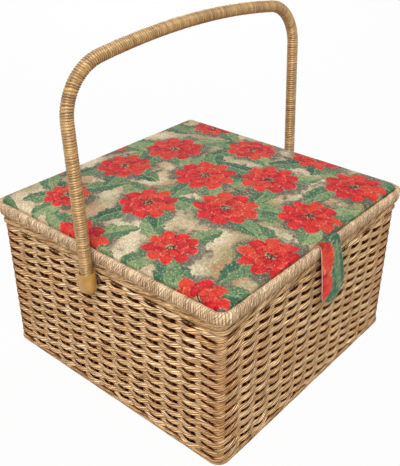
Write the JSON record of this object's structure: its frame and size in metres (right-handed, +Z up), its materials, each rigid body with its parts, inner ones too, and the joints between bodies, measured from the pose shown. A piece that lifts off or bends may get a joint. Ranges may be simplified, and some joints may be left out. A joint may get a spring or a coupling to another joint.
{
  "type": "sewing box",
  "caption": "Square woven sewing box with a padded hinged lid, pull tab, swinging wound handle and a lift-out compartment tray.",
  "frame": {"origin": "middle of the underside of the basket floor", "axes": "+Z up, -Y towards the front with the pull tab, X along the handle pivots"},
  "size_m": [0.333, 0.3089, 0.3541],
  "materials": {
    "cord": "matt twisted paper cord, woven",
    "floor_mat": "matt woven paper cord mat",
    "board": "matt fibreboard",
    "wire": "drawn iron wire",
    "lining_cloth": "plain cotton lining",
    "tray_plastic": "moulded pale plastic",
    "foam": "soft foam",
    "lid_cloth": null,
    "cushion_cloth": "plain red cotton",
    "handle_steel": "steel rod",
    "handle_cord": "wound paper cord, slightly shiny",
    "ferrule_plastic": "semi-gloss moulded plastic",
    "screw_steel": "plated steel"
  },
  "bodies": {
    "basket": {"base_border": "cord", "base_panel": "floor_mat", "base_board": "board", "basket_weave": "cord", "top_border": "cord", "wire_frame": "wire", "lining": "lining_cloth", "tray_ledge_front": "board", "tray_ledge_back": "board", "pivot_washer_left": "screw_steel", "pivot_washer_right": "screw_steel", "pivot_spacer_left": "ferrule_plastic", "pivot_spacer_right": "ferrule_plastic"},
    "lid": {"lid_rim": "cord", "lid_wire": "wire", "lid_board": "board", "lid_foam": "foam", "lid_cover": "lid_cloth", "lid_lining": "lining_cloth", "pin_cushion": "cushion_cloth", "hinge_loop_left": "cord", "hinge_loop_right": "cord"},
    "tab": {"lid_tab": "lid_cloth"},
    "pivots": {"pivot_screw_left": "screw_steel", "pivot_screw_right": "screw_steel"},
    "handle": {"handle_core": "handle_steel", "handle_wrap": "handle_cord", "ferrule_left": "ferrule_plastic", "ferrule_right": "ferrule_plastic"},
    "tray": {"tray": "tray_plastic"}
  },
  "joints": [
    {"name": "lid_hinge", "type": "hinge", "parent": "basket", "child": "lid", "pos_m": [0, 0.143, 0.152], "axis": [-1, 0, 0], "range_deg": [0, 100]},
    {"name": "pivot_turn", "type": "hinge", "parent": "basket", "child": "pivots", "pos_m": [0, 0, 0.1425], "axis": [-1, 0, 0], "range_deg": [0, 90]},
    {"name": "handle_swing", "type": "hinge", "parent": "pivots", "child": "handle", "pos_m": [0, 0, 0.1425], "axis": [-1, 0, 0], "range_deg": [-115, 20]},
    {"name": "tab_lift", "type": "hinge", "parent": "lid", "child": "tab", "pos_m": [0, -0.14765, 0.17455], "axis": [-1, 0, 0], "range_deg": [0, 110]},
    {"name": "tray_lift", "type": "slide", "parent": "basket", "child": "tray", "axis": [0, 0, 1], "range_m": [0, 0.02]}
  ],
  "couplings": [
    {"joint": "pivot_turn", "follows": "lid_hinge", "ratio": 0.9}
  ]
}
